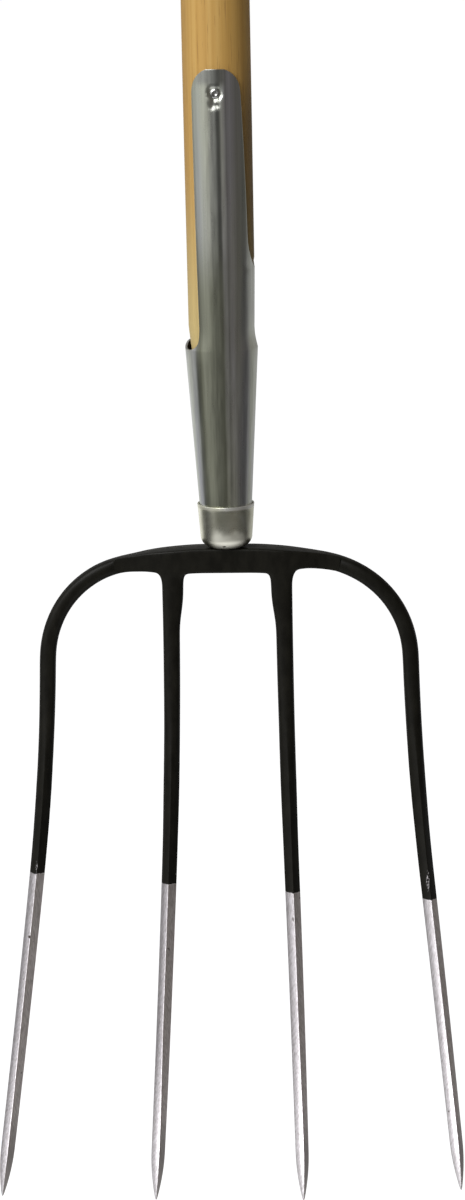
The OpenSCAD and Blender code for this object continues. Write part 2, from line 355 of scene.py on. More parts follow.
def sheetMaterial():
    material, shader = newMaterial("zincSheet")
    turn = turnShare()
    height = splitPlace()["Z"]
    lines = noise((900, 900, 2.5), 4)
    tint = noise((90, 90, 4), 2, (5, 2, 0))
    color = ramp(tint, [(0.35, (0.64, 0.64, 0.68)), (0.5, (0.65, 0.66, 0.62)), (0.65, (0.62, 0.64, 0.54))])
    # bands of painted reflection and shade by turn round the handle
    paintedShineAndShade = ramp(turn, [
        (0, grey(1)), (0.2, (0.95, 0.94, 0.96)), (0.27, (0.9, 0.92, 0.85)), (0.33, (0.88, 0.9, 0.86)),
        (0.42, (0.98, 0.98, 0.92)), (0.493, grey(0.85)), (0.512, grey(0.4)), (0.53, grey(0.42)),
        (0.548, grey(1.4)), (0.568, grey(1.4)), (0.59, grey(0.8)), (0.625, grey(1.1)), (0.68, grey(0.85)),
        (0.78, grey(0.75)), (0.84, grey(1))])
    color = blend(1, color, paintedShineAndShade, "MULTIPLY")
    cone = times(between(turn, *zinc["coneTurns"]), band(height, *zinc["coneHeights"]), 0.9)
    color = blend(cone, color, (0.36, 0.37, 0.28))
    # painted highlights on the cone's flanks
    for side, tone in (("left", (1.3, 1.33, 1.28)), ("right", (1.5, 1.52, 1.48))):
        flankHighlight = band(turn, *zinc[side + "Turns"])
        flankHighlight = times(flankHighlight, band(height, *zinc[side + "Heights"]))
        color = blend(flankHighlight, color, tone, "MULTIPLY")
    # painted shade in a strip beside the left flank
    shadeStrip = times(between(turn, *zinc["shadeStripTurns"]), between(height, *zinc["shadeStripHeights"]))
    color = blend(shadeStrip, color, (0.52, 0.52, 0.49), "MULTIPLY")
    pressed = times(between(turn, *zinc["tipTurns"]), band(height, *zinc["tipHeights"]), 0.85)
    color = blend(pressed, color, (0.37, 0.375, 0.35))
    color = blend(1, color, ramp(lines, [(0.3, grey(0.8)), (0.7, grey(1))]), "MULTIPLY")
    outward = dotProduct(addNode("TexCoord").outputs["Normal"], objectPlace((1, 1, 0)))
    # painted shade: the inside of the sheet is darkened nearly black
    color = blend(band(outward, *zinc["inside"], 0, 0.95), color, (0.02, 0.018, 0.015))
    fromFront = calculate("ABSOLUTE", calculate("SUBTRACT", turn, 0.5))
    ears = times(band(fromFront, *zinc["earTurns"]), band(height, *zinc["earHeights"]))
    specks = noise((500, 500, 60), 3, (1, 7, 0))
    rough = scaled(ears, 0.16, band(specks, 0.3, 0.7, 0.27, 0.34))
    setInputs(shader, {"Base Color": color, "Metallic": 1, "Roughness": rough})
    addBump(shader, lines, zinc["relief"], 0.3)
    return material


# Satin zinc with a rougher patch low on its front, painted paler there as the floor's reflection, and painted
# highlights on its flanks and below its rim
satin = {
    "patchEdge": (0.0185, 0.0115),  # heights, slanting and uneven
    "patchSlant": 0.08,
    "patchNoise": 0.01,
    "patchFront": (-0.003, -0.01),
    "patchMiddle": 0.0024,
    "patchHalf": (0.0125, 0.0065),
    "leftFlankHighlight": (-0.0095, -0.011),
    "rightFlankHighlight": (0.0105, 0.012),
    "lip": (ferruleTop - 0.0026, ferruleTop - 0.0012),  # a band below the rim, rougher and painted lighter as a highlight, most on the right
    "lipShine": (-0.004, 0.004, 0.1, 0.9),
    "spotPlace": (-0.0005, -0.0125, 0.0023),
    "spotHalf": (0.0012, 0.003, 0.0005),
    "relief": 0.00005,
}


def ferruleMaterial():
    material, shader = newMaterial("satinZinc")
    place = splitPlace()
    smudge = noise((160, 160, 130), 3)
    color = ramp(smudge, [(0.3, (0.49, 0.485, 0.38)), (0.6, (0.61, 0.605, 0.5)), (0.8, (0.68, 0.675, 0.6))])
    edge = scaled(smudge, satin["patchNoise"], scaled(place["X"], satin["patchSlant"], place["Z"]))
    aside = calculate("ABSOLUTE", calculate("SUBTRACT", place["X"], satin["patchMiddle"]))
    # painted reflection of the floor, on a patch that is also rougher
    roughPatchAndReflection = times(band(edge, *satin["patchEdge"]), band(place["Y"], *satin["patchFront"]),
                  band(aside, *satin["patchHalf"]))
    color = blend(times(roughPatchAndReflection, 0.9), color, (0.97, 0.96, 0.85))
    # painted highlights on the ferrule's flanks
    flankHighlights = calculate("MAXIMUM", band(place["X"], *satin["leftFlankHighlight"]),
                       band(place["X"], *satin["rightFlankHighlight"]))
    color = blend(flankHighlights, color, grey(1.5), "MULTIPLY")
    lip = band(place["Z"], *satin["lip"])
    # painted highlight below the rim
    lipHighlight = times(lip, band(place["X"], *satin["lipShine"]))
    color = blend(lipHighlight, color, (0.97, 0.97, 0.93))
    color = blend(softSpot(satin["spotPlace"], satin["spotHalf"]), color, (0.05, 0.045, 0.04))
    rough = band(calculate("MAXIMUM", roughPatchAndReflection, lip), 0, 1, 0.27, 0.44)
    setInputs(shader, {"Base Color": color, "Metallic": 1, "Roughness": rough})
    addBump(shader, smudge, satin["relief"], 0.4)
    return material


def rivetMaterial():
    material, shader = newMaterial("brightRivet")
    marks = noise((700, 700, 700), 3)
    color = ramp(marks, [(0.35, (0.36, 0.36, 0.35)), (0.65, (0.6, 0.6, 0.59))])
    rough = band(marks, 0.3, 0.7, 0.18, 0.34)
    setInputs(shader, {"Base Color": color, "Metallic": 1, "Roughness": rough})
    addBump(shader, marks, 0.0001, 0.6)
    return material


def tangMaterial():
    material, shader = newMaterial("forgedTang")
    scale = noise((400, 400, 220), 5)
    color = ramp(scale, [(0.3, (0.08, 0.075, 0.07)), (0.7, (0.25, 0.23, 0.21))])
    setInputs(shader, {"Base Color": color, "Metallic": 1, "Roughness": 0.6})
    addBump(shader, scale, 0.0003, 0.8)
    return material


# Head: black dip paint down to a slanting line, ground steel below it
dip = {
    "height": -0.1819,  # where the dip's edge crosses the middle
    "slant": -0.067,  # it drops to the right
    "wobble": 0.0016,
    "soft": 0.0002,
    "chips": [((-0.1052, -0.0275, -0.1705), (0.0009, 0.004, 0.004)),
              ((0.1062, -0.029, -0.1785), (0.0011, 0.005, 0.007))],  # places and half sizes
    "pitPlace": (-0.109, -0.0355, -0.2072),  # one dark pit in the bare steel
    "pitHalf": (0.0009, 0.004, 0.001),
    "pointShadeHeights": (-0.29, -0.32),
    "wearAndSheenHeights": (-0.0024, -0.0008),  # against the arch's top line, where the paint is rubbed grey and painted lighter as the top edge's highlight
    "wearAndSheenDepths": (-0.004, 0.003),
    "relief": 0.0002,
}


def headMaterial():
    material, shader = newMaterial("headSteel")
    place = splitPlace()
    wobble = calculate("SUBTRACT", noise((300, 300, 60), 4), 0.5)
    over = scaled(place["X"], -dip["slant"], scaled(wobble, dip["wobble"], place["Z"]))
    painted = band(over, dip["height"] - dip["soft"], dip["height"] + dip["soft"])
    streaks = noise((1500, 1500, 18), 4)
    pits = band(noise((420, 420, 260), 3, (2, 0, 5)), 0.7, 0.76)
    steel = ramp(streaks, [(0.32, (0.52, 0.5, 0.5)), (0.5, (0.68, 0.66, 0.67)), (0.68, (0.82, 0.8, 0.82))])
    facing = addNode("SeparateXYZ", {0: addNode("TexCoord").outputs["Normal"]}).outputs["X"]
    rightFacetShade = band(facing, 0.1, 0.4)  # painted shade: the right facets are darker and warmer, most so at the points
    steel = blend(1, steel, blend(rightFacetShade, (1, 0.985, 1), (1, 0.96, 0.92)), "MULTIPLY")
    # painted shade deepened on the right facets near the points
    point = times(rightFacetShade, band(place["Z"], *dip["pointShadeHeights"]), 0.7)
    steel = blend(point, steel, (0.28, 0.26, 0.25))
    steel = blend(times(pits, 0.75), steel, (0.1, 0.08, 0.07))
    steel = blend(softSpot(dip["pitPlace"], dip["pitHalf"]), steel, (0.08, 0.065, 0.06))
    film = noise((220, 220, 110), 5)
    paint = ramp(film, [(0.35, (0.0052, 0.0047, 0.003)), (0.7, (0.0098, 0.009, 0.006))])
    top = scaled(calculate("POWER", place["X"], 2), 1 / (2 * crownRadius), place["Z"])
    # worn paint and a painted highlight along the arch's top edge
    wearAndSheen = times(band(top, *dip["wearAndSheenHeights"]), band(film, 0.3, 0.6, 0.25, 0.8),
                 band(place["Y"], *dip["wearAndSheenDepths"]))
    paint = blend(wearAndSheen, paint, (0.056, 0.054, 0.048))
    for chipPlace, half in dip["chips"]:
        flakes = band(noise((2600, 2600, 500), 2), 0.5, 0.6)
        chip = times(softSpot(chipPlace, half), flakes, 0.6)
        painted = calculate("SUBTRACT", painted, chip)
    rough = scaled(film, band(painted, 0, 1, 0.05, 0.16), band(painted, 0, 1, 0.38, 0.34))
    setInputs(shader, {"Base Color": blend(painted, steel, paint), "Roughness": rough,
                       "Metallic": band(painted, 0, 1, 1, 0), "Specular IOR Level": 0.15})
    relief = scaled(film, band(painted, 0, 1, 0.03, 0.5), times(painted, 0.8))
    relief = calculate("SUBTRACT", relief, times(pits, 0.2))
    addBump(shader, relief, dip["relief"], 0.6)
    return material


ashWood = ashMaterial()
zincSheet = sheetMaterial()
satinZinc = ferruleMaterial()
brightRivet = rivetMaterial()
forgedTang = tangMaterial()
headSteel = headMaterial()
print("materials made")


# Wood handle: its settings, and its radius where it is shaved down to enter the socket
wood = {
    "sides": 128,
    "shaveDepth": 0.0023,  # taken off all round at the mouth, running out at the straps' tips
    "shavePower": 1.6,
    "footRadius": 0.01145,
    "rimRadius": 0.0128,  # inside the ferrule's rim
    "topRound": 0.012,
    "topRings": 4,  # across the flat top, its edge among them
    "coarseTo": 0.228,  # rows: coarse beside the straps, fine round the dents, coarse above
    "fineFrom": 0.229,
    "fineTo": 0.262,
    "plainFrom": 0.28,
    "proud": 0.85,  # share of the shaved depth left standing where no strap covers the wood
    "proudGap": radians(3),  # from a strap's edge to where the bare wood starts to rise
    "proudRun": radians(10),
    "proudFoot": 0.35,  # share of that left at the mouth
    "proudRise": 0.012,
    "dentDepth": 0.0018,
    "dentFloor": 0.0046,
    "dentRim": 0.0075,
    "dropFloor": 0.002,
    "dropRim": 0.005,
    "dropDepth": 0.0011,
}


def woodRadius(z):
    if z >= strapTop:
        return handleRadius
    share = (strapTop - z) / (strapTop - mouthHeight)
    return handleRadius - wood["shaveDepth"] * share ** wood["shavePower"]


# Strap socket: its settings, and the outline of half its flat blank
socket = {
    "columns": 56,
    "rollRadius": 0.019,  # to which the blank is bent before each row gets its own size
    "sheet": 0.0012,
    "fit": 0.00005,  # between the sheet and the wood
    "footRadius": 0.0115,
    "rimRadius": 0.01285,
    "mouthGap": 0.0019,
    "mouthLeft": 0.001,  # the mouth is opened further on its left
    "flareHeight": 0.010,
    "flarePower": 1.5,
    "notchRound": 0.0055,
    "backFrom": 0.0075,  # behind the handle's middle, where the notch's back corner starts to rise
    "backRise": 0.0036,
    "backReach": 0.012,
    "leftEdge": radians(41),
    "rightEdge": radians(42.5),
    "seamTop": 0.151,
    "sweepTop": 0.246,
    "sweepRound": 0.017,  # height of the sweep's rounded foot
    "sweepShare": 0.66,  # of the sweep's full width, at its foot
    "seamGap": 0.0003,  # from the seam's middle to each edge
    "tipRadius": 0.0126,
    "tipTurn": radians(70),  # where the rounded tip is cut off straight
    "footRow": 0.015,  # rows inside the ferrule, up the cone, and up the straps to the dents
    "coneRow": 0.034,
    "strapStep": 0.0015,
    "strapRow": 0.2285,
    "dentRow": 0.23,
    "dimpleDepth": 0.0014,
    "dimpleFloor": 0.0031,
    "dimpleRim": 0.005,
    "dropDepth": 0.0009,
    "dropFloor": 0.0012,
    "dropRim": 0.004,
    "edgeRound": 0.0002,
    "edgeAngle": radians(50),
}
sheetOuter = handleRadius + socket["fit"] + socket["sheet"]
sweepHalf = sheetOuter * cos(socket["rightEdge"])
tipStart = strapTop - socket["tipRadius"]


# how far open the mouth stands at a height: nought at the ferrule, one at its rim, running out above
def mouthOpen(z):
    if z > mouthHeight:
        share = clamp((mouthHeight + socket["flareHeight"] - z) / socket["flareHeight"])
        return share ** socket["flarePower"]
    return clamp((z - ferruleTop) / (mouthHeight - ferruleTop))


def coneRadius(z, gap):
    return mix(socket["rimRadius"], woodRadius(mouthHeight) + gap, mouthOpen(z))


# inner radius at the sides, where the mouth stands off the wood
def sheetRadius(z):
    if z < ferruleTop:
        return mix(socket["footRadius"], socket["rimRadius"], (z - socketFoot) / (ferruleTop - socketFoot))
    if z < mouthHeight:
        return coneRadius(z, socket["mouthGap"])
    return woodRadius(z) + socket["fit"] + (socket["mouthGap"] - socket["fit"]) * mouthOpen(z)


# inner radius at the front and back, where the straps run straight down into the cone
def frontRadius(z):
    if ferruleTop < z < mouthHeight:
        return coneRadius(z, socket["fit"])
    return woodRadius(z) + socket["fit"] if z >= mouthHeight else sheetRadius(z)


# left and right edge of the half blank at a height, as turns from the front
def blankEdges(z):
    radius = frontRadius(z) + socket["sheet"]
    left, right = pi / 2, pi / 2 - socket["seamGap"] / radius
    if z > mouthHeight:
        notch = socket["notchRound"]
        corner = sqrt(notch ** 2 - (notch - min(notch, z - mouthHeight)) ** 2)
        left = socket["leftEdge"] + (notch - corner) / radius
    above = z - socket["seamTop"]
    if above > 0:
        share = clamp(above / (socket["sweepTop"] - socket["seamTop"]))
        rise = clamp(above / socket["sweepRound"])
        half = sweepHalf * mix(socket["sweepShare"], 1, share) * sqrt(1 - (1 - rise) ** 2)
        right = min(right, acos(half / radius))
    over = z - tipStart
    if over > 0:
        narrow = sqrt(1 - (over / socket["tipRadius"] * sin(socket["tipTurn"])) ** 2)
        left, right = left * narrow, right * narrow
    return -left, right


# how far the wood stands out of its shaved seat at a place, where no strap covers it
def proudShare(place):
    if not mouthHeight - near < place.z < strapTop:
        return 0
    left, right = blankEdges(max(place.z, mouthHeight + socket["notchRound"]))
    edge = right if place.x > 0 else -left
    shaved = (handleRadius - woodRadius(place.z)) / wood["shaveDepth"]
    shaved *= mix(wood["proudFoot"], 1, ease((place.z - mouthHeight) / wood["proudRise"]))
    return shaved * ease((atan2(abs(place.x), abs(place.y)) - edge - wood["proudGap"]) / wood["proudRun"])


# the handle is turned, dented under the rivet and left standing beside the straps
handleLine = [(wood["footRadius"], socketFoot), (wood["rimRadius"], ferruleTop)]
handleLine += [(woodRadius(z), z) for z in steps(mouthHeight, wood["coarseTo"], 20)]
handleLine += [(woodRadius(z), z) for z in steps(wood["fineFrom"], wood["fineTo"], 44)]
handleLine += [(handleRadius, z) for z in steps(wood["plainFrom"], handleTop - wood["topRound"], 40)]
for turn in steps(0, pi / 2, 9)[1:]:
    handleLine.append((handleRadius - wood["topRound"] * (1 - cos(turn)),
                       handleTop - wood["topRound"] * (1 - sin(turn))))
handle = turnPiece("handle_wood", handleLine, wood["sides"])
for ring in range(wood["topRings"] - 1, 0, -1):
    bpy.ops.mesh.extrude_region_move()
    grow = ring / (ring + 1)
    resize((grow, grow, 1), (0, 0, handleTop))
closeEnds(handle, socketFoot)
pressDents(handle, 0, rivetHeight, wood["dentFloor"], wood["dentRim"], wood["dentDepth"])
pressDents(handle, *dropPlace, wood["dropFloor"], wood["dropRim"], wood["dropDepth"])
objectMode()
standing = handle.vertex_groups.new(name="standing")
for point in handle.data.vertices:
    standing.add([point.index], proudShare(point.co), "REPLACE")
applyModifier(handle, "DISPLACE", strength=wood["shaveDepth"] * wood["proud"], mid_level=0,
              vertex_group="standing")
handle.vertex_groups.clear()
finishPiece(handle, ashWood, "handle")

# the half blank is drawn out row by row, rolled up, fitted to the wood, mirrored and thickened
blankRows = [socketFoot, socket["footRow"], ferruleTop] + steps(socket["coneRow"], mouthHeight, 10)
blankRows += [mouthHeight + socket["notchRound"] * (1 - cos(turn)) for turn in steps(0, pi / 2, 9)[1:]]
blankRows += steps(blankRows[-1] + socket["strapStep"], socket["strapRow"], 32)
blankRows += steps(socket["dentRow"], tipStart, 16)
blankRows += [tipStart + socket["tipRadius"] * sin(turn) / sin(socket["tipTurn"])
              for turn in steps(0, socket["tipTurn"], 14)[1:]]
rollRadius = socket["rollRadius"]
strapSocket = startPiece("strap_socket_sheet", bpy.ops.mesh.primitive_grid_add,
                         x_subdivisions=socket["columns"], y_subdivisions=1, size=1)
pick(strapSocket, lambda point: point.co.y > 0)
bpy.ops.mesh.delete(type="VERT")
bpy.ops.mesh.select_all(action="SELECT")
left, right = [edge * rollRadius for edge in blankEdges(blankRows[0])]
columnWidth = (right - left) / socket["columns"]
bpy.ops.transform.translate(value=((left + right) / 2, 0.5, blankRows[0]))
resize((right - left, 1, 1), ((left + right) / 2, 0, 0))
for low, high in zip(blankRows, blankRows[1:]):
    if low == mouthHeight:  # the columns behind the notch's corner end here
        left = blankEdges(low + tiny)[0] * rollRadius
        pick(strapSocket, lambda point: point.co.z > low - tiny and point.co.x > left - columnWidth / 2)
        left = min(point.co.x for point in bmesh.from_edit_mesh(strapSocket.data).verts if point.select)
    nextLeft, nextRight = [edge * rollRadius for edge in blankEdges(high)]
    middle, nextMiddle = (left + right) / 2, (nextLeft + nextRight) / 2
    bpy.ops.mesh.extrude_region_move(TRANSFORM_OT_translate={"value": (nextMiddle - middle, 0, high - low)})
    grow = (nextRight - nextLeft) / (right - left)
    resize((grow, 1, 1), (nextMiddle, 0, high))
    left, right = nextLeft, nextRight
objectMode()
applyModifier(strapSocket, "SIMPLE_DEFORM", deform_method="BEND", deform_axis="Z",
              angle=strapSocket.dimensions.x / rollRadius)
editMode()
bpy.ops.mesh.select_all(action="SELECT")
bpy.ops.transform.translate(value=(0, -rollRadius, 0))
for row in blankRows:
    pick(strapSocket, lambda point: abs(point.co.z - row) < near)
    grow = (sheetRadius(row) / rollRadius, frontRadius(row) / rollRadius, 1)
    resize(grow, (0, 0, row))
    if mouthOpen(row) > 0:
        pick(strapSocket, lambda point: abs(point.co.z - row) < near and point.co.x < 0)
        grow = 1 + socket["mouthLeft"] * mouthOpen(row) / sheetRadius(row)
        resize((grow, 1, 1), (0, 0, row))
pressDents(strapSocket, 0, rivetHeight, socket["dimpleFloor"], socket["dimpleRim"], socket["dimpleDepth"])
pressDents(strapSocket, *dropPlace, socket["dropFloor"], socket["dropRim"], socket["dropDepth"])
objectMode()
applyModifier(strapSocket, "MIRROR", use_axis=(False, True, False), merge_threshold=near)
editMode()
pick(strapSocket, lambda point: abs(point.co.z - mouthHeight) < near and point.co.x < 0
     and point.co.y > socket["backFrom"])
bpy.ops.transform.translate(value=(0, 0, socket["backRise"]), use_proportional_edit=True,
                            proportional_edit_falloff="SMOOTH", proportional_size=socket["backReach"])
bpy.ops.mesh.select_all(action="SELECT")
bpy.ops.mesh.remove_doubles(threshold=tiny)
faceOutward()
objectMode()
applyModifier(strapSocket, "SOLIDIFY", thickness=socket["sheet"], offset=1, use_even_offset=True)
applyModifier(strapSocket, "BEVEL", width=socket["edgeRound"], segments=2, limit_method="ANGLE",
              angle_limit=socket["edgeAngle"])
finishPiece(strapSocket, zincSheet, "strap_socket")


# End ferrule
ferrule = {
    "sides": 128,
    "footRadius": 0.0139,  # where the rounded foot begins
    "footRound": 0.0068,
    "footHeight": 0.0062,
    "wall": 0.0009,
    "neckRadius": 0.0051,
    "rimRound": 0.00042,
}
ferruleLine = [(ferrule["neckRadius"], 0)]
ferruleLine += [(ferrule["footRadius"] - ferrule["footRound"] * (1 - sin(turn)),
                 ferrule["footHeight"] * (1 - cos(turn))) for turn in steps(0, pi / 2, 14)]
for share in steps(0, 1, 6)[1:]:
    ferruleLine.append((mix(ferrule["footRadius"], rimRadius, share),
                        mix(ferrule["footHeight"], ferruleTop - ferrule["rimRound"], share)))
rimMiddle = rimRadius - ferrule["wall"] / 2
for turn in steps(0, pi, 8)[1:]:
    ferruleLine.append((rimMiddle + ferrule["wall"] / 2 * cos(turn),
                        ferruleTop - ferrule["rimRound"] * (1 - sin(turn))))
insideRound = ferrule["footRound"] - ferrule["wall"]
insideHeight = ferrule["footHeight"] - ferrule["wall"]
ferruleLine += [(ferrule["footRadius"] - ferrule["wall"] - insideRound * (1 - sin(turn)),
                 ferrule["wall"] + insideHeight * (1 - cos(turn))) for turn in steps(pi / 2, 0, 8)]
ferruleLine.append((ferrule["neckRadius"], ferrule["wall"]))
endFerrule = turnPiece("end_ferrule_cup", ferruleLine, ferrule["sides"])
pick(endFerrule, lambda point: sqrt(point.co.x ** 2 + point.co.y ** 2) < ferrule["neckRadius"] + near)
bpy.ops.mesh.bridge_edge_loops()
faceOutward()
finishPiece(endFerrule, satinZinc, "end_ferrule")


# Strap rivet: two domed heads on one shank, turned upright and laid along Y
rivet = {
    "sides": 48,
    "shankRadius": 0.0025,
    "headRadius": 0.0029,
    "headHeight": 0.0015,
    "crown": 0.85,  # how flat the dome is hammered
    "dish": 0.0006,  # hollow in the dome's middle
    "dishShare": 0.62,  # of the head's radius
    "seat": 0.01745,  # from the handle's middle to the underside of each head
}
domeLine = []
for turn in steps(0, pi / 2, 16)[1:-1]:
    hollow = rivet["dish"] * ease(1 - cos(turn) / rivet["dishShare"])
    domeLine.append((rivet["headRadius"] * cos(turn),
                     rivet["seat"] + rivet["headHeight"] * sin(turn) ** rivet["crown"] - hollow))
rivetLine = [(radius, -height) for radius, height in reversed(domeLine)]
rivetLine += [(rivet["headRadius"], -rivet["seat"]), (rivet["shankRadius"], -rivet["seat"])]
rivetLine += [(rivet["shankRadius"], rivet["seat"]), (rivet["headRadius"], rivet["seat"])] + domeLine
strapRivet = turnPiece("strap_rivet_heads", rivetLine, rivet["sides"])
closeEnds(strapRivet, -domeLine[-1][1])
bpy.ops.transform.rotate(value=pi / 2, orient_axis="X", center_override=(0, 0, 0))
bpy.ops.transform.translate(value=(0, 0, rivetHeight))
finishPiece(strapRivet, brightRivet, "strap_rivet")

# Tang: hidden in the ferrule, the socket and the wood, so its own solid stays
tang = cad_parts["tang"]
tang.data.materials.clear()
tang.data.materials.append(forgedTang)


# Forged head: cages of eight-point rings along each bar, smoothed by subdivision
head = {
    "bowHalf": 0.0976,  # from the middle to an outer tine's line at the shoulder
    "barHeight": 0.0088,
    "barDepth": 0.009,
    "seatCut": 0.0004,
    "sink": 0.0005,  # a small step down in the top line, to the left of the lap
    "sinkFrom": 0.0435,
    "sinkRun": 0.004,
    "sinkTo": 0.056,
    "sinkOut": 0.014,
    "lap": 0.061,  # from the middle to each end of the crossbar
    "lapDepth": 0.0075,
    "joggleRun": 0.015,
    "scarf": 0.028,
    "lip": 0.0002,
    "lapBlend": 0.0015,  # thinning over which the bow's cage turns square
    "crossHeight": 0.0136,
    "crossExtra": 0.0006,  # the crossbar's underside below the bow's before it runs out
    "crossEnd": -0.0009,
    "slimFrom": 0.02,  # from the middle to where the crossbar's underside starts to rise
    "innerHalf": 0.0304,
    "innerRoot": 0.0092,  # an inner tine's width at its root, and what is added on its inner side
    "rootExtra": 0.0023,
    "rootHold": 0.007,
    "rootRun": 0.028,
    "rootBelow": 0.0035,  # from the crossbar's underside to a tine's first ring
    "rootEnd": 0.06,  # drop to where the closer rings of the root end
    "rootOut": 0.0078,  # from a tine's line to the crossbar rings on either side of its root
    "rootIn": 0.0069,  # the inner corners are tighter
    "innerSpread": 0.009,
    "reach": 0.09,
    "curveFrom": 0.010,
    "spreadFrom": 0.09,
    "spreadTo": 0.53,
    "rootWidth": 0.0088,
    "tineWidth": 0.0075,
    "tineDepth": 0.0076,
    "pointLength": 0.0228,
    "pointPower": 1.9,
    "tipShare": 0.1,
    "ridgeFrom": 0.2,
    "ridgeTo": 0.48,
    "twistFrom": 0.245,  # drop from where the ridges turn towards their points
    "twistTo": 0.315,
    "barCorner": 0.855,  # cage corners against cage edges: a rounded bar, a lap bar and a ridged tine
    "lapCorner": 0.97,
    "lapCrease": 0.4,
    "seamCrease": 0.9,
    "ridgeCorner": 0.53,
    "fullCorner": 0.6,  # the front left facet, which is fuller than the others
    "ridgeCrease": 0.75,
    "backCrease": 0.4,
    "edgeCrease": 0.6,
    "levels": 3,
    "smoothAngle": 75,  # in degrees
}
outerSpreads = {-1: 0.0246, 1: 0.0260}  # how far each outer point stands outside its shoulder
outerTips = {-1: 0.3357, 1: 0.3327}  # drop of each outer point, left and right
innerTips = {-1: 0.3362, 1: 0.3365}
# how far each ridge is turned to the right, along the tine and at its point
outerTurns = {-1: (radians(-1), radians(7)), 1: (radians(16), radians(23))}
innerTurns = {-1: (radians(-2), radians(15)), 1: (radians(10), radians(21))}
slimTo = {-1: 0.056, 1: 0.046}  # where the crossbar is at its end height, left and right


def reach(d):
    return head["reach"] * (max(0, d - head["curveFrom"]) / (tineDrop - head["curveFrom"])) ** 2


def spreadShare(d):
    start, end = head["spreadFrom"] * tineDrop, head["spreadTo"] * tineDrop

    def run(drop):
        bent = min(end - start, max(0, drop - start))
        return bent ** 2 / (2 * (end - start)) + max(0, drop - end)
    return run(d) / run(tineDrop)


def ridgeShare(d):
    return ease((d / tineDrop - head["ridgeFrom"]) / (head["ridgeTo"] - head["ridgeFrom"]))


# a ring's place along its bar, its size and shape; full and seam are numbers of the ring's corners
def newStation(place, width, depth, corner, ridge=0, turn=0, full=0, lapped=0, seam=()):
    return {"place": Vector(place), "width": width, "depth": depth, "corner": corner, "ridge": ridge,
            "turn": turn, "full": full, "lapped": lapped, "seam": seam}


# one station of a tine at a drop below the head's top
def tineStation(x, y, d, tip, turns, flip, width, depth, full):
    point = clamp((d - (tip - head["pointLength"])) / head["pointLength"])
    slim = 1 - (1 - head["tipShare"]) * point ** head["pointPower"]
    ridge = ridgeShare(d)
    turn = flip * ridge * mix(*turns, ease((d - head["twistFrom"]) / (head["twistTo"] - head["twistFrom"])))
    return newStation((x, y - reach(d), -d), width * slim, depth * slim,
                      mix(head["barCorner"], head["ridgeCorner"], ridge), ridge, turn, full)


# adds a ring of cage points, grown so that the smoothed bar has the station's own size
def addRing(piece, station, along):
    across = Vector((0, 1, 0)).cross(along).normalized()
    axes = Matrix((across, along.cross(across), along)).transposed()
    axes = axes @ Matrix.Rotation(station["turn"], 3, "Z")
    grow = mix(3 / (2 + station["corner"]), 1, max(station["ridge"], station["lapped"]))
    place, width = station["place"], station["width"]
    bpy.ops.mesh.primitive_circle_add(vertices=8, radius=width / 2 * grow, location=place,
                                      rotation=axes.to_euler())
    bpy.ops.transform.resize(value=(1, station["depth"] / width, 1), center_override=place,
                             orient_type="GLOBAL", orient_matrix=axes, orient_matrix_type="GLOBAL")
    first = len(bmesh.from_edit_mesh(piece.data).verts) - 8
    pick(piece, lambda point: point.index >= first and point.index % 2)
    shape = station["corner"] / cos(pi / 4)
    resize((shape,) * 3, place)
    if station["ridge"] > 0:
        pick(piece, lambda point: point.index == first + station["full"])
        shape = mix(1, head["fullCorner"] / station["corner"], station["ridge"])
        resize((shape,) * 3, place)
    return first


# a bar through its stations: rings bridged one to the next, with creased ridges
def addBar(piece, line, startCap=True):
    firsts = []
    for i, station in enumerate(line):
        along = (line[min(i + 1, len(line) - 1)]["place"] - line[max(i - 1, 0)]["place"]).normalized()
        firsts.append(addRing(piece, station, along))
        if i:
            pick(piece, lambda point: firsts[-2] <= point.index < firsts[-2] + 16)
            bpy.ops.mesh.bridge_edge_loops()
    for first in (firsts[0], firsts[-1]) if startCap else firsts[-1:]:
        pick(piece, lambda point: first <= point.index < first + 8)
        bpy.ops.mesh.edge_face_add()
    for first, station in zip(firsts[1:], line[1:]):
        creases = {}
        for corner in (1, 3, 5, 7):
            kind = "seamCrease" if corner in station["seam"] else "lapCrease"
            creases[corner] = station["lapped"] * head[kind]
        for corner, kind in ((0, "backCrease"), (4, "ridgeCrease"), (2, "edgeCrease"), (6, "edgeCrease")):
            creases[corner] = station["ridge"] * head[kind]
        for corner, crease in creases.items():
            if crease > 0:
                pick(piece, lambda point: point.index in (first + corner, first + corner - 8))
                bpy.ops.transform.edge_crease(value=crease)
    return firsts


# an empty mesh to add rings to
def emptyPiece(name):
    piece = startPiece(name, bpy.ops.mesh.primitive_plane_add)
    bpy.ops.mesh.delete(type="VERT")
    objectMode()  # so that new points are counted from nought
    editMode()
    return piece


def finishBow(piece, node):
    faceOutward()
    objectMode()
    applyModifier(piece, "SUBSURF", levels=head["levels"], render_levels=head["levels"])
    finishPiece(piece, headSteel, node, head["smoothAngle"])


shoulderX = head["bowHalf"] - shoulderRadius
crownTurn = asin(shoulderX / (crownRadius - shoulderRadius))
crownZ = head["seatCut"] - head["barHeight"] / 2
shoulderZ = crownZ - crownRadius + (crownRadius - shoulderRadius) * cos(crownTurn)


# the bow's middle line at a place across: height and slope
def bowLineAt(x):
    if abs(x) < crownRadius * sin(crownTurn):
        turn = asin(abs(x) / crownRadius)
        return crownZ - crownRadius * (1 - cos(turn)) - leftSink(x), turn
    turn = asin((abs(x) - shoulderX) / shoulderRadius)
    return shoulderZ + shoulderRadius * cos(turn) - leftSink(x), turn


def leftSink(x):
    down = ease((-x - head["sinkFrom"]) / head["sinkRun"])
    return head["sink"] * down * (1 - ease((-x - head["sinkTo"]) / head["sinkOut"]))


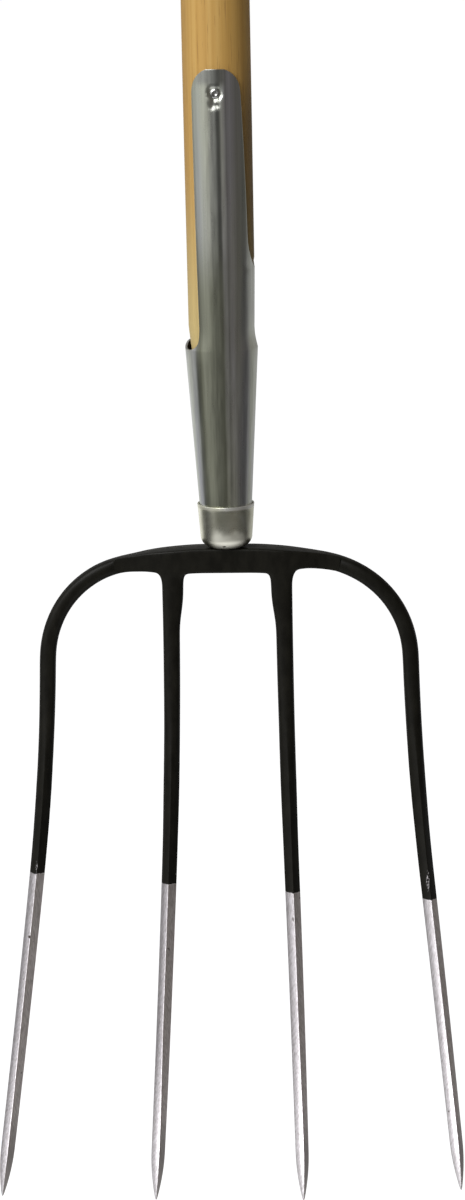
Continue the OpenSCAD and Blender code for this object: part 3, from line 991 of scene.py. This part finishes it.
# plan of the lap at a place across: the bow's back and the face where the two bars meet
def bowBack(x):
    joggle = head["lapDepth"] - head["barDepth"] / 2
    share = ease((head["lap"] + head["joggleRun"] - abs(x)) / (2 * head["joggleRun"]))
    return head["barDepth"] / 2 + joggle * share


# how far along the scarf a place is, from nought at its root to one at its end
def scarfShare(x):
    return clamp((abs(x) - head["lap"] + head["scarf"]) / head["scarf"])


def partingFace(x):
    return (bowBack(x) - head["barDepth"]) * scarfShare(x)


def bowStation(x, z, width):
    back, front = bowBack(x), partingFace(x)
    lapped = clamp((head["barDepth"] - back + front) / head["lapBlend"])
    top = min(0, z + width / 2) - width / 2 if abs(x) < shoulderX else z
    top -= leftSink(x)
    return newStation((x, (back + front) / 2 - reach(-z), top), width, back - front,
                      mix(head["barCorner"], head["lapCorner"], lapped), lapped=lapped, seam=(3, 5))


def outerSide(side):
    stations = []
    for turn in steps(0, crownTurn, 12)[:-1]:
        stations.append(bowStation(side * crownRadius * sin(turn),
                                   crownZ - crownRadius * (1 - cos(turn)), head["barHeight"]))
    for turn in steps(crownTurn, pi / 2, 12)[:-1]:
        share = (turn - crownTurn) / (pi / 2 - crownTurn)
        x, z = shoulderX + shoulderRadius * sin(turn), shoulderZ + shoulderRadius * cos(turn)
        stations.append(bowStation(side * x, z, mix(head["barHeight"], head["rootWidth"], share)))
        stations[-1]["place"].x += side * outerSpreads[side] * spreadShare(-z)
    tip = outerTips[side]
    pointFrom = tip - head["pointLength"]
    for d in steps(-shoulderZ, pointFrom, 30)[:-1] + steps(pointFrom, tip, 7):
        share = clamp((d + shoulderZ) / (pointFrom + shoulderZ))
        x = side * (head["bowHalf"] + outerSpreads[side] * spreadShare(d))
        width = mix(head["rootWidth"], head["tineWidth"], share)
        depth = mix(head["barDepth"], head["tineDepth"], share)
        # the bow's line runs up the left tine and down the right, so turn and full corner flip
        stations.append(tineStation(x, 0, d, tip, outerTurns[side], -side, width, depth, 4 + side))
    return stations


outerTines = emptyPiece("outer_bow")
bowLine = list(reversed(outerSide(-1)))[:-1] + outerSide(1)
addBar(outerTines, bowLine)
finishBow(outerTines, "outer_tines")


# Inner bow: the lapped crossbar, with both tines grown out of its underside
def crossStation(x):
    middle, turn = bowLineAt(x)
    half = head["barHeight"] / 2 / cos(turn)
    top = min(0, middle + half)
    slim = ease((abs(x) - head["slimFrom"]) / (slimTo[1 if x > 0 else -1] - head["slimFrom"]))
    endHeight = top - middle + half + mix(head["crossExtra"], head["crossEnd"], scarfShare(x))
    height = mix(head["crossHeight"], endHeight, slim)
    back = partingFace(x)
    front = mix(-head["lapDepth"], back - head["lip"], scarfShare(x))
    return newStation((x, (back + front) / 2, top - height / 2), height, back - front, head["lapCorner"],
                      lapped=1, seam=(1, 7))


def innerSide(side):
    tip = innerTips[side]
    rootDrop = head["crossHeight"] + head["rootBelow"]
    pointFrom = tip - head["pointLength"]
    drops = steps(rootDrop, head["rootEnd"], 7)[:-1] + steps(head["rootEnd"], pointFrom, 28)[:-1]
    stations = []
    for d in drops + steps(pointFrom, tip, 7):
        share = clamp((d - rootDrop) / (pointFrom - rootDrop))
        narrowed = ease((d - rootDrop - head["rootHold"]) / (head["rootRun"] - head["rootHold"]))
        extra = head["rootExtra"] * (1 - narrowed)
        deepen = ease((d - rootDrop - head["rootRun"]) / head["rootRun"])
        rootDepth = mix(head["lapDepth"], head["barDepth"], deepen)
        x = side * (head["innerHalf"] + head["innerSpread"] * spreadShare(d) - extra / 2)
        width = mix(head["innerRoot"], head["tineWidth"], share) + extra
        depth = mix(rootDepth, head["tineDepth"], share)
        stations.append(tineStation(x, -head["lapDepth"] / 2, d, tip, innerTurns[side], -1, width, depth, 5))
    return stations


innerTines = emptyPiece("inner_bow")
rootX = {side: side * (head["innerHalf"] - head["rootExtra"] / 2) for side in (-1, 1)}
crossXs = steps(-head["lap"], rootX[-1] - head["rootOut"], 6) + [rootX[-1]]
crossXs += steps(rootX[-1] + head["rootIn"], rootX[1] - head["rootIn"], 10) + [rootX[1]]
crossXs += steps(rootX[1] + head["rootOut"], head["lap"], 6)
crossFirsts = addBar(innerTines, [crossStation(x) for x in crossXs])
underside = 6  # the corner of a crossbar ring that lies lowest
tineFirsts = {}
for side in (-1, 1):
    tineFirsts[side] = addBar(innerTines, innerSide(side), startCap=False)[0]
for side in (-1, 1):
    middle = crossFirsts[crossXs.index(rootX[side])]
    hole = [middle + ring + underside + aside for ring in (-8, 0, 8) for aside in (-1, 0, 1) if ring or aside]
    pick(innerTines, lambda point: point.index == middle + underside)
    bpy.ops.mesh.delete(type="VERT")
    crossFirsts = [first - 1 if first > middle else first for first in crossFirsts]
    tineFirsts = {key: first - 1 for key, first in tineFirsts.items()}
    hole = [index - 1 if index > middle + underside else index for index in hole]
    ring = range(tineFirsts[side], tineFirsts[side] + 8)
    pick(innerTines, lambda point: point.index in hole or point.index in ring)
    bpy.ops.mesh.bridge_edge_loops()
finishBow(innerTines, "inner_tines")


# Stage: a pale floor under the points
stage = {
    "floorFront": -0.6,
    "floorBack": 12,
    "floorHalf": 8,
    "floorGap": 0.0003,  # below the lowest point
    "floorTone": 0.95,
    "glow": 0.94,  # the floor's own white to the camera; the rest is lit and takes the shadow
    "litShare": 0.3,
    "nearRing": (0.75, 0.4, 0, 0.9),  # in the metal's reflections: bright close to the fork, most so in front
    "nearFront": (-0.02, -0.2, 0.25, 1),
    "behind": (0.3, 1.1),  # bright behind it, less on the right, and dim elsewhere
    "behindLeft": (0.6, -0.3, 0.35, 0.8),
    "elsewhere": 0.1,
}
floor = startPiece("floor", bpy.ops.mesh.primitive_plane_add, size=1)
resize((2 * stage["floorHalf"], stage["floorBack"] - stage["floorFront"], 1), (0, 0, 0))
floorMiddle = (stage["floorBack"] + stage["floorFront"]) / 2
bpy.ops.transform.translate(value=(0, floorMiddle, -tineDrop - stage["floorGap"]))
objectMode()
paleFloor, shader = newMaterial("paleFloor")
setInputs(shader, {"Base Color": (*grey(stage["floorTone"]), 1), "Roughness": 0.9})
rays = addNode("LightPath").outputs
white = addNode("Emission", {"Color": (1, 1, 1, 1), "Strength": stage["glow"]})
lit = addNode("BsdfDiffuse", {"Color": (*grey(stage["litShare"]), 1)})
seen = addNode("AddShader", {0: white.outputs[0], 1: lit.outputs[0]})
surface = addNode("MixShader", {0: rays["Is Camera Ray"], 1: shader.outputs[0], 2: seen.outputs[0]})
place = splitPlace()
nearby = times(band(length(objectPlace((1, 1, 0))), *stage["nearRing"]),
               band(place["Y"], *stage["nearFront"]))
behind = times(band(place["Y"], *stage["behind"]), band(place["X"], *stage["behindLeft"]))
shine = calculate("ADD", calculate("MAXIMUM", nearby, behind), stage["elsewhere"])
mirrored = addNode("Emission", {"Color": (1, 1, 1, 1), "Strength": shine})
surface = addNode("MixShader", {0: rays["Is Glossy Ray"], 1: surface.outputs[0], 2: mirrored.outputs[0]})
tree.links.new(surface.outputs[0], tree.nodes["Material Output"].inputs["Surface"])
floor.data.materials.append(paleFloor)


# the way from the fork towards a turn from the front and a height, in degrees
def around(azimuth, elevation, distance=1):
    a, e = radians(azimuth), radians(elevation)
    return Vector((sin(a) * cos(e), -cos(a) * cos(e), sin(e))) * distance


# Room: dim, with soft bands of light by direction, given by their limits and strengths
room = {
    "leftSide": (-60, 16),  # turn and height of the bright side
    "leftEdge": (0.7, 0.95, 0, 0.62),
    "frontToBack": (-0.6, 0.4, 0.15, 0.2),
    "rightEdge": (0.3, 0.9),  # the right is dimmer, in reflections less so
    "rightBase": 0.4,
    "rightMirrored": (0.2, 0.7, 0.6, 0.5),
    "backLeftX": (0, -0.6),  # a bright corner behind on the left, in reflections only
    "backLeftY": (-0.3, 0.3, 0, 0.42),
    "backLeftZ": (0.1, 0.4),
    "warmEdge": (-0.2, 0.6),  # reflections of the right are warmer
    "warm": (1, 0.94, 0.87),
}
world = bpy.data.worlds.new("studio")
bpy.context.scene.world = world
world.use_nodes = True
tree = world.node_tree
direction = addNode("TexCoord").outputs["Generated"]
towards = addNode("SeparateXYZ", {0: direction}).outputs
rays = addNode("LightPath").outputs
leftLight = band(dotProduct(direction, around(*room["leftSide"])), *room["leftEdge"])
rightShare = scaled(rays["Is Glossy Ray"], band(towards["Z"], *room["rightMirrored"]), room["rightBase"])
dimRight = band(towards["X"], *room["rightEdge"], 1, rightShare)
roomLight = scaled(band(towards["Y"], *room["frontToBack"]), dimRight, leftLight)
backLeft = times(band(towards["X"], *room["backLeftX"]), band(towards["Z"], *room["backLeftZ"]),
                 band(towards["Y"], *room["backLeftY"]), rays["Is Glossy Ray"])
roomLight = calculate("ADD", backLeft, roomLight)
strength = addNode("Mix", {"Factor": rays["Is Camera Ray"], "A": roomLight, "B": 1}).outputs[0]
warmRight = times(band(towards["X"], *room["warmEdge"]), rays["Is Glossy Ray"])
setInputs(tree.nodes["Background"], {"Strength": strength,
                                     "Color": blend(warmRight, (1, 1, 1), room["warm"])})

# one soft key from the front left
key = {
    "azimuth": -30,
    "elevation": 35,
    "distance": 2.4,
    "target": (0, 0, 0.05),
    "width": 1.3,
    "height": 1.6,
    "power": 44,
}
keyPlace = around(key["azimuth"], key["elevation"], key["distance"])
bpy.ops.object.light_add(type="AREA", location=keyPlace)
lamp = bpy.context.object
lamp.name = "keyPanel"
lamp.data.shape = "RECTANGLE"
lamp.data.size = key["width"]
lamp.data.size_y = key["height"]
lamp.data.energy = key["power"]
lamp.rotation_euler = (Vector(key["target"]) - keyPlace).to_track_quat("-Z", "Y").to_euler()

# the photo's view: the camera's turn and height in degrees, and its roll
view = {
    "azimuth": 3.5,
    "elevation": 13,
    "roll": radians(-1.20573),
    "distance": 2.3,
    "target": (0.00249, 0, -0.029738),
    "lens": 128.33,
    "sensor": 36,
}
bpy.ops.object.camera_add()
camera = bpy.context.object
back = around(view["azimuth"], view["elevation"])
right = Vector((cos(radians(view["azimuth"])), sin(radians(view["azimuth"])), 0))
axes = Matrix((right, back.cross(right), back)).transposed().to_4x4() @ Matrix.Rotation(view["roll"], 4, "Z")
camera.matrix_world = Matrix.Translation(Vector(view["target"]) + back * view["distance"]) @ axes
camera.data.sensor_width = view["sensor"]
camera.data.lens = view["lens"]
bpy.context.scene.camera = camera
bpy.context.scene.view_settings.view_transform = "Standard"
print("stage and camera set")
